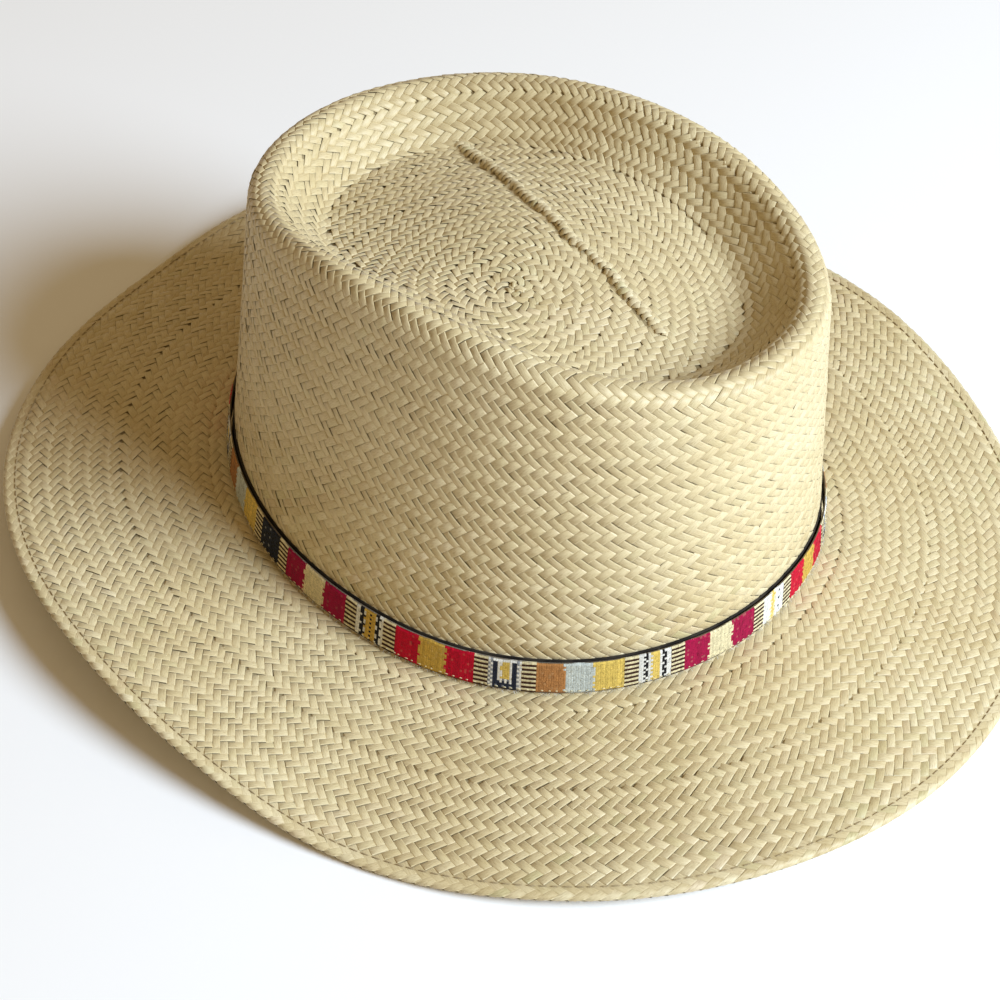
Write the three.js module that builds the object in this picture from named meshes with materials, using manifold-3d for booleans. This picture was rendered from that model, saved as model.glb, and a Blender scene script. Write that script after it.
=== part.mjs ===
// A straw planter's hat: a tapering crown with a sunk oval top, a wide wavy brim and a woven band.
// Millimetres, +Z up. The hat lies on the table as it would by itself, and its front points along -Y.

import * as THREE from 'three';
import { mergeVertices } from 'three/addons/utils/BufferGeometryUtils.js';
import Module from 'manifold-3d';

const wasm = await Module();
wasm.setup();

// Driving sizes of the head oval, measured over the straw where the crown meets the brim

const HEAD_LENGTH = 200;
const HEAD_WIDTH = 176;
// The exponent of an oval is 2 for an ellipse, and a larger one is squarer
const HEAD_FULLNESS = 2.14;
const HEADLINE_LIFT = 15;

// Driving sizes of the crown: its rounded rim is smaller than the head and sits a little to the back

const CROWN_HEIGHT = 118;
const RIM_LENGTH = 187.5;
const RIM_WIDTH = 141.5;
const RIM_FULLNESS = 2.16;
const RIM_SETBACK = 4.5;
const RIM_SAG = 12;
const ROLL_RADIUS = 5.5;

// Driving sizes of the sunk top: a slope runs down to a moat, and a low dome rises inside the moat

const MOAT_INSET = 25;
const MOAT_DEPTH = 14;
const DOME_RISE = 6;
const CREASE_WIDTH = 6;
const CREASE_HEIGHT = 2.2;

// Driving sizes of the brim

const BRIM_WIDTH = 75;
const BRIM_LIFT = 14;
// The brim leaves the crown level and bends a little more towards its edge
const BRIM_BEND = 1.2;
const BREAK_SIZE = 3;
const COLLAR_HEIGHT = 6;
const EDGE_FOLD = 8;

// Driving sizes of the straw and of the two strips round the crown

const STRAW = 1.6;
const BAND_HEIGHT = 11.5;
const BAND_THICKNESS = 1.2;
const BACKING_THICKNESS = 0.8;
const BACKING_SHOWS = 1.2;
const GAP = 0.3;

// How many sides each oval is drawn with
const SIDES = 72;

// How the hat lies: a row for each station, turning from its left side (0) by its back (90).
// edge is a share of BRIM_LIFT, headline of HEADLINE_LIFT and sag of RIM_SAG.

const STATIONS = [
  { turn: 0.0, edge: 0.68, headline: 0.34, sag: 0.08 },
  { turn: 22.5, edge: 0.71, headline: 0.47, sag: 0.22 },
  { turn: 45.0, edge: 0.75, headline: 0.7, sag: 0.53 },
  { turn: 67.5, edge: 0.64, headline: 0.92, sag: 0.9 },
  { turn: 90.0, edge: 0.0, headline: 1.0, sag: 1.02 },
  { turn: 112.5, edge: 0.18, headline: 0.92, sag: 0.98 },
  { turn: 135.0, edge: 0.66, headline: 0.67, sag: 0.57 },
  { turn: 157.5, edge: 1.0, headline: 0.39, sag: 0.11 },
  { turn: 180.0, edge: 0.64, headline: 0.22, sag: 0.02 },
  { turn: 202.5, edge: 0.0, headline: 0.22, sag: 0.09 },
  { turn: 225.0, edge: 0.25, headline: 0.42, sag: 0.39 },
  { turn: 247.5, edge: 0.45, headline: 0.72, sag: 0.66 },
  { turn: 270.0, edge: 0.09, headline: 0.82, sag: 0.76 },
  { turn: 292.5, edge: 0.0, headline: 0.71, sag: 0.82 },
  { turn: 315.0, edge: 0.18, headline: 0.54, sag: 0.49 },
  { turn: 337.5, edge: 0.66, headline: 0.39, sag: 0.17 },
];

// Where the crease starts and ends on the dome, as shares of the half width and half length of the moat
const CREASE = [
  { end: 'back', across: 0.48, along: 0.7 },
  { end: 'front', across: -0.2, along: -0.95 },
];

// A smooth closed curve through one column of the stations

function stationValue(column, turn) {
  const count = STATIONS.length;
  const place = (((turn / 360) * count) % count + count) % count;
  const row = Math.floor(place);
  const t = place - row;
  const [a, b, c, d] = [-1, 0, 1, 2].map((step) => STATIONS[(row + step + count) % count][column]);
  const slopeB = (c - a) / 2;
  const slopeC = (d - b) / 2;
  const t2 = t * t;
  const t3 = t2 * t;
  return (2 * t3 - 3 * t2 + 1) * b + (t3 - 2 * t2 + t) * slopeB + (3 * t2 - 2 * t3) * c + (t3 - t2) * slopeC;
}

// The radius of an oval at an angle, given its length along Y, its width along X and its fullness

function ovalRadius(length, width, fullness, turn) {
  const angle = THREE.MathUtils.degToRad(turn);
  const across = Math.abs(Math.cos(angle)) / (width / 2);
  const along = Math.abs(Math.sin(angle)) / (length / 2);
  return (across ** fullness + along ** fullness) ** (-1 / fullness);
}

function outward(turn) {
  const angle = THREE.MathUtils.degToRad(turn);
  return new THREE.Vector3(Math.cos(angle), Math.sin(angle), 0);
}

const up = new THREE.Vector3(0, 0, 1);

// The headline is where the outer face of the crown would meet the top face of the brim

function headlinePoint(turn) {
  const radius = ovalRadius(HEAD_LENGTH, HEAD_WIDTH, HEAD_FULLNESS, turn);
  return outward(turn).multiplyScalar(radius).setZ(HEADLINE_LIFT * stationValue('headline', turn));
}

// The level direction square to the head oval, along which the brim runs out

function brimDirection(turn) {
  const along = headlinePoint(turn + 0.5).sub(headlinePoint(turn - 0.5)).setZ(0).normalize();
  return along.cross(up);
}

// The rounded rim at the top of the crown, given by the centre of its roll

function rollCentre(turn) {
  const radius = ovalRadius(RIM_LENGTH, RIM_WIDTH, RIM_FULLNESS, turn) - ROLL_RADIUS;
  const height = CROWN_HEIGHT - ROLL_RADIUS - RIM_SAG * stationValue('sag', turn);
  return outward(turn).multiplyScalar(radius).add(new THREE.Vector3(0, RIM_SETBACK, height));
}

// The straight wall of the crown rises from the headline and touches the roll of the rim

function crownWall(turn) {
  const foot = headlinePoint(turn);
  const out = outward(turn);
  const centre = rollCentre(turn);
  const toCentre = centre.clone().sub(foot);
  const run = Math.hypot(toCentre.dot(out), toCentre.z);
  const lean = Math.atan2(-toCentre.dot(out), toCentre.z) + Math.asin(ROLL_RADIUS / run);
  const head = centre.clone().addScaledVector(out, ROLL_RADIUS * Math.cos(lean));
  head.addScaledVector(up, ROLL_RADIUS * Math.sin(lean));
  return { foot, head, lean, rise: head.clone().sub(foot).normalize() };
}

// The sunk top, given by its moat and by a dome inside it that all the angles share

function moatRadius(turn) {
  return ovalRadius(RIM_LENGTH, RIM_WIDTH, RIM_FULLNESS, turn) - MOAT_INSET;
}

function moatHeight(turn) {
  return rollCentre(turn).z + ROLL_RADIUS - MOAT_DEPTH;
}

const MEAN_SAG = STATIONS.reduce((sum, row) => sum + row.sag, 0) / STATIONS.length;
const MOAT_LEVEL = CROWN_HEIGHT - RIM_SAG * MEAN_SAG - MOAT_DEPTH;

function domeHeight(turn, share) {
  const base = MOAT_LEVEL + (moatHeight(turn) - MOAT_LEVEL) * share * share;
  return base + DOME_RISE * (1 + Math.cos(Math.PI * share)) / 2;
}

// The outer face of the crown at one angle, from its foot up over the rim and in towards the middle

const ROLL_STEPS = 5;
const SLOPE_STEPS = 5;
const DOME_SHARES = [0.84, 0.68, 0.51, 0.34, 0.17];
// The roll turns through the top until its inner side is this steep
const INNER_SLOPE = THREE.MathUtils.degToRad(48);

function crownFace(turn) {
  const { foot, head, lean, rise } = crownWall(turn);
  const out = outward(turn);
  const centre = rollCentre(turn);
  const face = [foot.clone().addScaledVector(rise, COLLAR_HEIGHT + GAP)];
  face.push(face[0].clone().lerp(head, 0.5));
  const turned = Math.PI / 2 + INNER_SLOPE - lean;
  for (let step = 0; step <= ROLL_STEPS; step += 1) {
    const angle = lean + (turned * step) / ROLL_STEPS;
    const point = centre.clone().addScaledVector(out, ROLL_RADIUS * Math.cos(angle));
    face.push(point.addScaledVector(up, ROLL_RADIUS * Math.sin(angle)));
  }
  const start = face[face.length - 1];
  const end = out.clone().multiplyScalar(moatRadius(turn)).add(new THREE.Vector3(0, RIM_SETBACK, moatHeight(turn)));
  const drop = start.z - end.z;
  const corner = start.clone().addScaledVector(out, -drop / Math.tan(INNER_SLOPE)).setZ(end.z);
  const slope = new THREE.QuadraticBezierCurve3(start, corner, end);
  for (let step = 1; step <= SLOPE_STEPS; step += 1) {
    face.push(slope.getPoint(step / SLOPE_STEPS));
  }
  for (const share of DOME_SHARES) {
    const point = out.clone().multiplyScalar(moatRadius(turn) * share);
    face.push(point.add(new THREE.Vector3(0, RIM_SETBACK, domeHeight(turn, share))));
  }
  return face;
}

// The top face of the brim at one angle, from the edge in to the break and up the collar

const BREAK_STEPS = 3;
const BRIM_SHARES = [0.8, 0.6, 0.4, 0.2];

function brimReach(turn) {
  const drop = BRIM_LIFT * stationValue('edge', turn) + 2 * STRAW - headlinePoint(turn).z;
  return { drop, reach: Math.sqrt(BRIM_WIDTH ** 2 - drop ** 2) };
}

function brimPoint(turn, share) {
  const { drop, reach } = brimReach(turn);
  const point = headlinePoint(turn).addScaledVector(brimDirection(turn), reach * share);
  return point.addScaledVector(up, drop * share ** BRIM_BEND);
}

function brimFace(turn) {
  const { foot, rise } = crownWall(turn);
  const lip = STRAW / BRIM_WIDTH;
  const fold = 1 - EDGE_FOLD / BRIM_WIDTH;
  const shares = [1 - lip, fold + lip, fold, ...BRIM_SHARES.map((share) => share * fold)];
  const face = shares.map((share) => brimPoint(turn, share));
  const start = brimPoint(turn, BREAK_SIZE / BRIM_WIDTH);
  const end = foot.clone().addScaledVector(rise, BREAK_SIZE);
  const bend = new THREE.QuadraticBezierCurve3(start, foot, end);
  for (let step = 0; step <= BREAK_STEPS; step += 1) {
    face.push(bend.getPoint(step / BREAK_STEPS));
  }
  face.push(foot.clone().addScaledVector(rise, COLLAR_HEIGHT));
  return face;
}

// A grid holds one face for each side of the hat, and its normals point out of the straw

function gridOf(faceAt) {
  return Array.from({ length: SIDES }, (_, side) => faceAt((360 * side) / SIDES));
}

function normalAt(grid, side, row) {
  const next = grid[(side + 1) % SIDES][row];
  const previous = grid[(side + SIDES - 1) % SIDES][row];
  const last = grid[side].length - 1;
  const along = grid[side][Math.min(row + 1, last)].clone().sub(grid[side][Math.max(row - 1, 0)]);
  return next.clone().sub(previous).cross(along).normalize();
}

function shifted(grid, depthAt) {
  return grid.map((face, side) =>
    face.map((point, row) => point.clone().addScaledVector(normalAt(grid, side, row), -depthAt(row))));
}

// A closed skin through loops of points, one loop for each side; poles close loops that are left open

function skin(loops, poles) {
  const positions = [];
  const triangles = [];
  const rows = loops[0].length;
  loops.forEach((loop) => loop.forEach((point) => positions.push(point.x, point.y, point.z)));
  const lastRow = poles ? rows - 1 : rows;
  for (let side = 0; side < SIDES; side += 1) {
    const here = side * rows;
    const there = ((side + 1) % SIDES) * rows;
    for (let row = 0; row < lastRow; row += 1) {
      const next = (row + 1) % rows;
      triangles.push(here + row, there + row, there + next, here + row, there + next, here + next);
    }
    if (poles) {
      const first = SIDES * rows;
      triangles.push(first, there, here, first + 1, here + rows - 1, there + rows - 1);
    }
  }
  if (poles) {
    poles.forEach((point) => positions.push(point.x, point.y, point.z));
  }
  const geometry = new THREE.BufferGeometry();
  geometry.setAttribute('position', new THREE.Float32BufferAttribute(positions, 3));
  geometry.setIndex(triangles);
  return geometry;
}

// Solids are joined and cut as closed meshes, and come back as plain geometry

function toSolid(geometry) {
  const bare = geometry.clone();
  bare.deleteAttribute('normal');
  bare.deleteAttribute('uv');
  const merged = mergeVertices(bare, 1e-4);
  return new wasm.Manifold(new wasm.Mesh({
    numProp: 3,
    vertProperties: new Float32Array(merged.attributes.position.array),
    triVerts: new Uint32Array(merged.index.array),
  }));
}

function toGeometry(solid) {
  const mesh = solid.getMesh();
  const geometry = new THREE.BufferGeometry();
  geometry.setAttribute('position', new THREE.BufferAttribute(new Float32Array(mesh.vertProperties), 3));
  geometry.setIndex(new THREE.BufferAttribute(new Uint32Array(mesh.triVerts), 1));
  return geometry;
}

// The crown: outer face, inner face and the cut foot between them, closed over the middle of the dome

function crownShell() {
  const outer = gridOf(crownFace);
  const inner = shifted(outer, () => STRAW);
  const loops = outer.map((face, side) => [...inner[side].slice().reverse(), ...face]);
  const top = new THREE.Vector3(0, RIM_SETBACK, MOAT_LEVEL + DOME_RISE);
  const poles = [top.clone().addScaledVector(up, -STRAW), top];
  return toSolid(skin(loops, poles));
}

// The crease: a low welt across the dome where the hat was folded, joined to the crown

const CREASE_STEPS = 14;

function topHeight(x, y) {
  const turn = THREE.MathUtils.radToDeg(Math.atan2(y - RIM_SETBACK, x));
  const share = Math.hypot(x, y - RIM_SETBACK) / moatRadius(turn);
  return domeHeight(turn, Math.min(share, 1));
}

function creaseSolid() {
  const [back, front] = CREASE.map((row) => new THREE.Vector2(
    row.across * (RIM_WIDTH / 2 - MOAT_INSET),
    row.along * (RIM_LENGTH / 2 - MOAT_INSET) + RIM_SETBACK,
  ));
  const along = front.clone().sub(back).normalize();
  const aside = new THREE.Vector2(along.y, -along.x).multiplyScalar(CREASE_WIDTH / 2);
  const positions = [];
  for (let step = 0; step <= CREASE_STEPS; step += 1) {
    const share = step / CREASE_STEPS;
    const middle = back.clone().lerp(front, share);
    const swell = Math.sqrt(Math.sin(Math.PI * (0.03 + 0.94 * share)));
    const sectionOf = [[-1, -0.2], [-0.5, 0.6], [0, 1], [0.5, 0.6], [1, -0.2]];
    for (const [side, lift] of sectionOf) {
      const x = middle.x + aside.x * side;
      const y = middle.y + aside.y * side;
      positions.push(x, y, topHeight(x, y) + CREASE_HEIGHT * lift * swell);
    }
    positions.push(middle.x, middle.y, topHeight(middle.x, middle.y) - STRAW / 2);
  }
  const around = 6;
  const triangles = [];
  for (let step = 0; step < CREASE_STEPS; step += 1) {
    for (let place = 0; place < around; place += 1) {
      const a = step * around + place;
      const b = step * around + ((place + 1) % around);
      triangles.push(a, b, b + around, a, b + around, a + around);
    }
  }
  const last = CREASE_STEPS * around;
  for (let place = 1; place < around - 1; place += 1) {
    triangles.push(0, place + 1, place, last, last + place, last + place + 1);
  }
  const geometry = new THREE.BufferGeometry();
  geometry.setAttribute('position', new THREE.Float32BufferAttribute(positions, 3));
  geometry.setIndex(triangles);
  return toSolid(geometry);
}

function crownGeometry() {
  return toGeometry(crownShell().add(creaseSolid()));
}

// The brim: one sheet of straw, doubled where the edge is turned under and stitched

function brimShell() {
  const top = gridOf(brimFace);
  const foldRows = 2;
  const bottom = shifted(top, (row) => (row < foldRows ? 2 * STRAW - GAP : STRAW));
  const loops = top.map((face, side) => {
    const edge = brimPoint((360 * side) / SIDES, 1).addScaledVector(up, -STRAW);
    return [edge, ...face, ...bottom[side].slice().reverse()];
  });
  return toSolid(skin(loops));
}

// The three lowest waves of the brim are pressed flat where they carry the hat on the table

const PRESSED = 0.4;

function brimGeometry() {
  const shell = brimShell();
  const floor = shell.boundingBox().min[2] + PRESSED;
  const span = 2 * (HEAD_LENGTH + BRIM_WIDTH);
  const table = wasm.Manifold.cube([span, span, span], true).translate([0, 0, floor - span / 2]);
  return toGeometry(shell.subtract(table));
}

// A strip round the foot of the crown, lying on the wall at a clearance

function stripGeometry({ low, high, clearance, thickness }) {
  const soft = thickness * 0.35;
  const section = [
    [low, 0],
    [low + soft, thickness],
    [(low + high) / 2, thickness + soft / 3],
    [high - soft, thickness],
    [high, 0],
  ];
  const wall = gridOf((turn) => {
    const { foot, rise } = crownWall(turn);
    return section.map(([height]) => foot.clone().addScaledVector(rise, height));
  });
  const loops = wall.map((face, side) =>
    face.map((point, row) => point.clone().addScaledVector(normalAt(wall, side, row), clearance + section[row][1])));
  return skin(loops);
}

// Both strips stand clear of the curve of the break, the inner one higher up it
const BACKING_LOW = BREAK_SIZE * 0.65;
const BAND_LOW = BREAK_SIZE * 0.4;

function backingGeometry() {
  return stripGeometry({
    low: BACKING_LOW,
    high: BAND_LOW + BAND_HEIGHT + BACKING_SHOWS,
    clearance: GAP,
    thickness: BACKING_THICKNESS,
  });
}

function bandGeometry() {
  return stripGeometry({
    low: BAND_LOW,
    high: BAND_LOW + BAND_HEIGHT,
    clearance: 2 * GAP + BACKING_THICKNESS * 1.15,
    thickness: BAND_THICKNESS,
  });
}

// The pieces, each with its own colour

const group = new THREE.Group();
group.name = 'straw_hat';

function addPiece(name, geometry, colour, roughness) {
  geometry.computeVertexNormals();
  const material = new THREE.MeshStandardMaterial({ color: colour, roughness, metalness: 0, flatShading: true });
  material.name = name;
  const mesh = new THREE.Mesh(geometry, material);
  mesh.name = name;
  group.add(mesh);
  return mesh;
}

addPiece('crown', crownGeometry(), 0xd9cb9c, 0.62);
const brim = addPiece('brim', brimGeometry(), 0xd2c391, 0.62);
addPiece('hatband', bandGeometry(), 0xb03a48, 0.9);
addPiece('hatband_backing', backingGeometry(), 0x1b1a1c, 0.85);

// The table is at height 0 and the middle of the brim's box is on the Z axis

brim.geometry.computeBoundingBox();
const box = brim.geometry.boundingBox;
group.children.forEach((mesh) => {
  mesh.position.set(-(box.min.x + box.max.x) / 2, -(box.min.y + box.max.y) / 2, -box.min.z);
});

export default group;
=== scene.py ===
# %% [markdown]
# # A plaited straw hat with a woven band
# The hat is plaited from flat straw strips about 3 mm wide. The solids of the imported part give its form,
# and this script dresses that form: every visible straw becomes a small curved strip of mesh.
# Everything is in metres, and the front of the hat points along -Y.

# %% Load the frame
import math
import bpy
import numpy as np
from mathutils import Matrix, Vector


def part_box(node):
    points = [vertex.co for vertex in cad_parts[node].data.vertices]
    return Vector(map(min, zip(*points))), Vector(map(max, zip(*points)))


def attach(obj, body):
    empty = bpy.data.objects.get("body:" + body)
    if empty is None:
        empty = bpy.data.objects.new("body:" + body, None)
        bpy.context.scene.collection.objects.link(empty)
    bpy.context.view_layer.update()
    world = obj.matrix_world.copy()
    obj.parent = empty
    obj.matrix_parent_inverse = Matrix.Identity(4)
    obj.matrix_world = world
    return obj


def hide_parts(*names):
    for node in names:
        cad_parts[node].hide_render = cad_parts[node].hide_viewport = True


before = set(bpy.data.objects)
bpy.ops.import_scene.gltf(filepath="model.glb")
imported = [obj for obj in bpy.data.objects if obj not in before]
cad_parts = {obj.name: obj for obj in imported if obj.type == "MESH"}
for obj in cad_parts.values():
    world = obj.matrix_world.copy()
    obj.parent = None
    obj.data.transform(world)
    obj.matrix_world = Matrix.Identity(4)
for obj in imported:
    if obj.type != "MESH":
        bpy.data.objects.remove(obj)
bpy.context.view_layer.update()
MM = 0.001
UP = np.array([0.0, 0.0, 1.0])

# %% [markdown]
# ## The sizes of the hat
# A hatter blocks the straw over a wooden form, so the whole hat follows from two ovals, a few heights and
# the waves of the brim. They are the part's own sizes, kept here in metres, so the plaiting can be laid on
# the same form. The table has a row for each station round the hat, starting at its left side.

# %% The sizes of the form
HEAD_LENGTH, HEAD_WIDTH, HEAD_FULLNESS, HEADLINE_LIFT = 200 * MM, 176 * MM, 2.14, 15 * MM
CROWN_HEIGHT, RIM_LENGTH, RIM_WIDTH, RIM_FULLNESS = 118 * MM, 187.5 * MM, 141.5 * MM, 2.16
RIM_SETBACK, RIM_SAG, ROLL_RADIUS = 4.5 * MM, 12 * MM, 5.5 * MM
MOAT_INSET, MOAT_DEPTH, DOME_RISE = 25 * MM, 14 * MM, 6 * MM
BRIM_WIDTH, BRIM_LIFT, BRIM_BEND, BREAK_SIZE = 75 * MM, 14 * MM, 1.2, 3 * MM
COLLAR_HEIGHT, EDGE_FOLD, STRAW, GAP = 6 * MM, 8 * MM, 1.6 * MM, 0.3 * MM
BAND_HEIGHT, BAND_THICKNESS, BACKING_THICKNESS, BACKING_SHOWS = 11.5 * MM, 1.2 * MM, 0.8 * MM, 1.2 * MM
INNER_SLOPE = math.radians(48)

# turn, edge (share of BRIM_LIFT), headline (share of HEADLINE_LIFT), sag (share of RIM_SAG)
STATIONS = np.array([
    (0.0, 0.68, 0.34, 0.08), (22.5, 0.71, 0.47, 0.22),
    (45.0, 0.75, 0.70, 0.53), (67.5, 0.64, 0.92, 0.90),
    (90.0, 0.00, 1.00, 1.02), (112.5, 0.18, 0.92, 0.98),
    (135.0, 0.66, 0.67, 0.57), (157.5, 1.00, 0.39, 0.11),
    (180.0, 0.64, 0.22, 0.02), (202.5, 0.00, 0.22, 0.09),
    (225.0, 0.25, 0.42, 0.39), (247.5, 0.45, 0.72, 0.66),
    (270.0, 0.09, 0.82, 0.76), (292.5, 0.00, 0.71, 0.82),
    (315.0, 0.18, 0.54, 0.49), (337.5, 0.66, 0.39, 0.17)])
EDGE, HEADLINE, SAG = 1, 2, 3

# %% [markdown]
# ## The form as functions
# Blender meshes are lists of points, and numpy can work out thousands of them at once. So each function
# below takes a whole array of turns, in degrees round the hat, and gives an array of points.


# %% Ovals, headline and rim
def unit(vectors):
    return vectors / np.linalg.norm(vectors, axis=-1, keepdims=True)


def station(column, turn):
    """A smooth closed curve through one column of the stations."""
    values = STATIONS[:, column]
    count = len(values)
    place = (np.asarray(turn, float) / 360 * count) % count
    row = np.floor(place).astype(int) % count
    t = place - np.floor(place)
    a, b, c, d = (values[(row + step) % count] for step in (-1, 0, 1, 2))
    rising, falling = (c - a) / 2, (d - b) / 2
    return ((2 * t**3 - 3 * t**2 + 1) * b + (t**3 - 2 * t**2 + t) * rising
            + (3 * t**2 - 2 * t**3) * c + (t**3 - t**2) * falling)


def oval(length, width, fullness, turn):
    angle = np.radians(turn)
    across = np.abs(np.cos(angle)) / (width / 2)
    along = np.abs(np.sin(angle)) / (length / 2)
    return (across**fullness + along**fullness) ** (-1 / fullness)


def outward(turn):
    angle = np.radians(turn)
    return np.stack([np.cos(angle), np.sin(angle), np.zeros_like(angle)], -1)


def headline(turn):
    point = outward(turn) * oval(HEAD_LENGTH, HEAD_WIDTH, HEAD_FULLNESS, turn)[..., None]
    point[..., 2] = HEADLINE_LIFT * station(HEADLINE, turn)
    return point


def brim_direction(turn):
    along = headline(turn + 0.5) - headline(turn - 0.5)
    along[..., 2] = 0
    return np.cross(unit(along), UP)


def roll_centre(turn):
    point = outward(turn) * (oval(RIM_LENGTH, RIM_WIDTH, RIM_FULLNESS, turn) - ROLL_RADIUS)[..., None]
    point[..., 1] += RIM_SETBACK
    point[..., 2] = CROWN_HEIGHT - ROLL_RADIUS - RIM_SAG * station(SAG, turn)
    return point


# %% The wall of the crown, the sunk top and the brim
def wall(turn):
    """Foot, head and rising direction of the crown's wall, and its lean."""
    foot, out, centre = headline(turn), outward(turn), roll_centre(turn)
    inward = -((centre - foot) * out).sum(-1)
    rise = centre[..., 2] - foot[..., 2]
    lean = np.arctan2(inward, rise) + np.arcsin(ROLL_RADIUS / np.hypot(inward, rise))
    head = centre + ROLL_RADIUS * (out * np.cos(lean)[..., None] + UP * np.sin(lean)[..., None])
    return foot, head, unit(head - foot), lean


MOAT_LEVEL = CROWN_HEIGHT - RIM_SAG * STATIONS[:, SAG].mean() - MOAT_DEPTH


def moat_radius(turn):
    return oval(RIM_LENGTH, RIM_WIDTH, RIM_FULLNESS, turn) - MOAT_INSET


def moat_height(turn):
    return roll_centre(turn)[..., 2] + ROLL_RADIUS - MOAT_DEPTH


def brim_point(turn, share):
    start = headline(turn)
    drop = BRIM_LIFT * station(EDGE, turn) + 2 * STRAW - start[..., 2]
    reach = np.sqrt(BRIM_WIDTH**2 - drop**2)
    climb = UP * (drop * share**BRIM_BEND)[..., None]
    return start + brim_direction(turn) * (reach * share)[..., None] + climb


def bend(start, corner, end, steps):
    """Points along a curve that leaves start for corner and comes in to end."""
    t = np.linspace(0, 1, steps)[:, None, None]
    return (1 - t) ** 2 * start + 2 * t * (1 - t) * corner + t**2 * end


# %% [markdown]
# ## Where the built part stands
# The part is moved so that its middle is over the origin and its lowest wave touches the table. The same
# move is read here from the frame's own boxes, so the plaiting lands on the solids.

# %% Match the form to the frame
TURNS = 720
turns = np.arange(TURNS) * 360 / TURNS
edge_points = brim_point(turns, np.ones(TURNS))
brim_low, brim_high = (np.array(corner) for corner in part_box("brim"))
crown_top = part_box("crown")[1][2]
SHIFT = (brim_low + brim_high) / 2 - (edge_points.min(0) + edge_points.max(0)) / 2
SHIFT[2] = crown_top - (roll_centre(turns)[:, 2].max() + ROLL_RADIUS)
print("shift of the form in mm:", np.round(SHIFT / MM, 2))

# %% [markdown]
# ## A skin of the hat, ring by ring
# Straw is plaited in rings. A ring is a little over 3 mm wide, and its straws stand a little under 4 mm
# apart. So the form is cut from its edge to its moat into rings of even width, and kept as a grid of points
# with their normals. Reading the grid between its points puts a strip anywhere on the hat, which is quicker
# than shrinking a flat plait onto it.

# %% Skins read from a grid
RING, STEP = 3.25 * MM, 3.85 * MM


class Skin:
    """Points and normals of a face of the straw, by turn in degrees and by ring number."""

    FINE = 8

    def __init__(self, path):
        lengths = np.zeros(path.shape[:2])
        lengths[1:] = np.cumsum(np.linalg.norm(np.diff(path, axis=0), axis=-1), axis=0)
        self.rings = int(round(lengths[-1].mean() / RING))
        shares = np.linspace(0, 1, self.rings * self.FINE + 1)
        self.points = np.empty((len(shares), TURNS, 3))
        for side in range(TURNS):
            track = lengths[:, side] / lengths[-1, side]
            for axis in range(3):
                self.points[:, side, axis] = np.interp(shares, track, path[:, side, axis])
        around = np.roll(self.points, -1, 1) - np.roll(self.points, 1, 1)
        self.normals = unit(np.cross(around, np.gradient(self.points, axis=0)))

    def read(self, turn, ring):
        row = np.clip(ring * self.FINE, 0, len(self.points) - 1.001)
        side = (turn / 360 * TURNS) % TURNS
        r, s = np.floor(row).astype(int), np.floor(side).astype(int) % TURNS
        fr, fs = (row - r)[..., None], (side - np.floor(side))[..., None]
        s2 = (s + 1) % TURNS

        def between(grid):
            first = grid[r, s] * (1 - fs) + grid[r, s2] * fs
            second = grid[r + 1, s] * (1 - fs) + grid[r + 1, s2] * fs
            return first * (1 - fr) + second * fr

        return between(self.points), unit(between(self.normals))

    def girth(self, ring):
        loop = self.points[int(np.clip(ring * self.FINE, 0, len(self.points) - 1))]
        return np.linalg.norm(np.roll(loop, -1, 0) - loop, axis=1).sum()


# %% The skin of the crown, from the lip under the band up over the rim and down to the moat
def crown_path():
    foot, head, direction, lean = wall(turns)
    out, centre = outward(turns), roll_centre(turns)
    lip = foot + direction * (COLLAR_HEIGHT + GAP)
    straight = lip + (head - lip) * np.linspace(0, 1, 40)[:, None, None]
    angles = lean + (math.pi / 2 + INNER_SLOPE - lean) * np.linspace(0, 1, 24)[:, None]
    roll = centre + ROLL_RADIUS * (out * np.cos(angles)[..., None] + UP * np.sin(angles)[..., None])
    end = out * moat_radius(turns)[:, None]
    end[:, 1] += RIM_SETBACK
    end[:, 2] = moat_height(turns)
    corner = roll[-1] - out * ((roll[-1] - end)[:, 2] / math.tan(INNER_SLOPE))[:, None]
    corner[:, 2] = end[:, 2]
    return np.concatenate([straight, roll[1:], bend(roll[-1], corner, end, 24)[1:]]) + SHIFT


# %% The skin of the brim, from under the edge round it and in to the collar
STITCH_INSET, STITCH_DENT, DENT_WIDTH = 4.2 * MM, 0.35 * MM, 0.7 * MM
# the fold's radius, how blunt its tip is, and how far its lower half stands back
FOLD_RADIUS, FOLD_TIP, FOLD_LEAN = STRAW * 0.8, 0.45, 1.1 * MM


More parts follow.
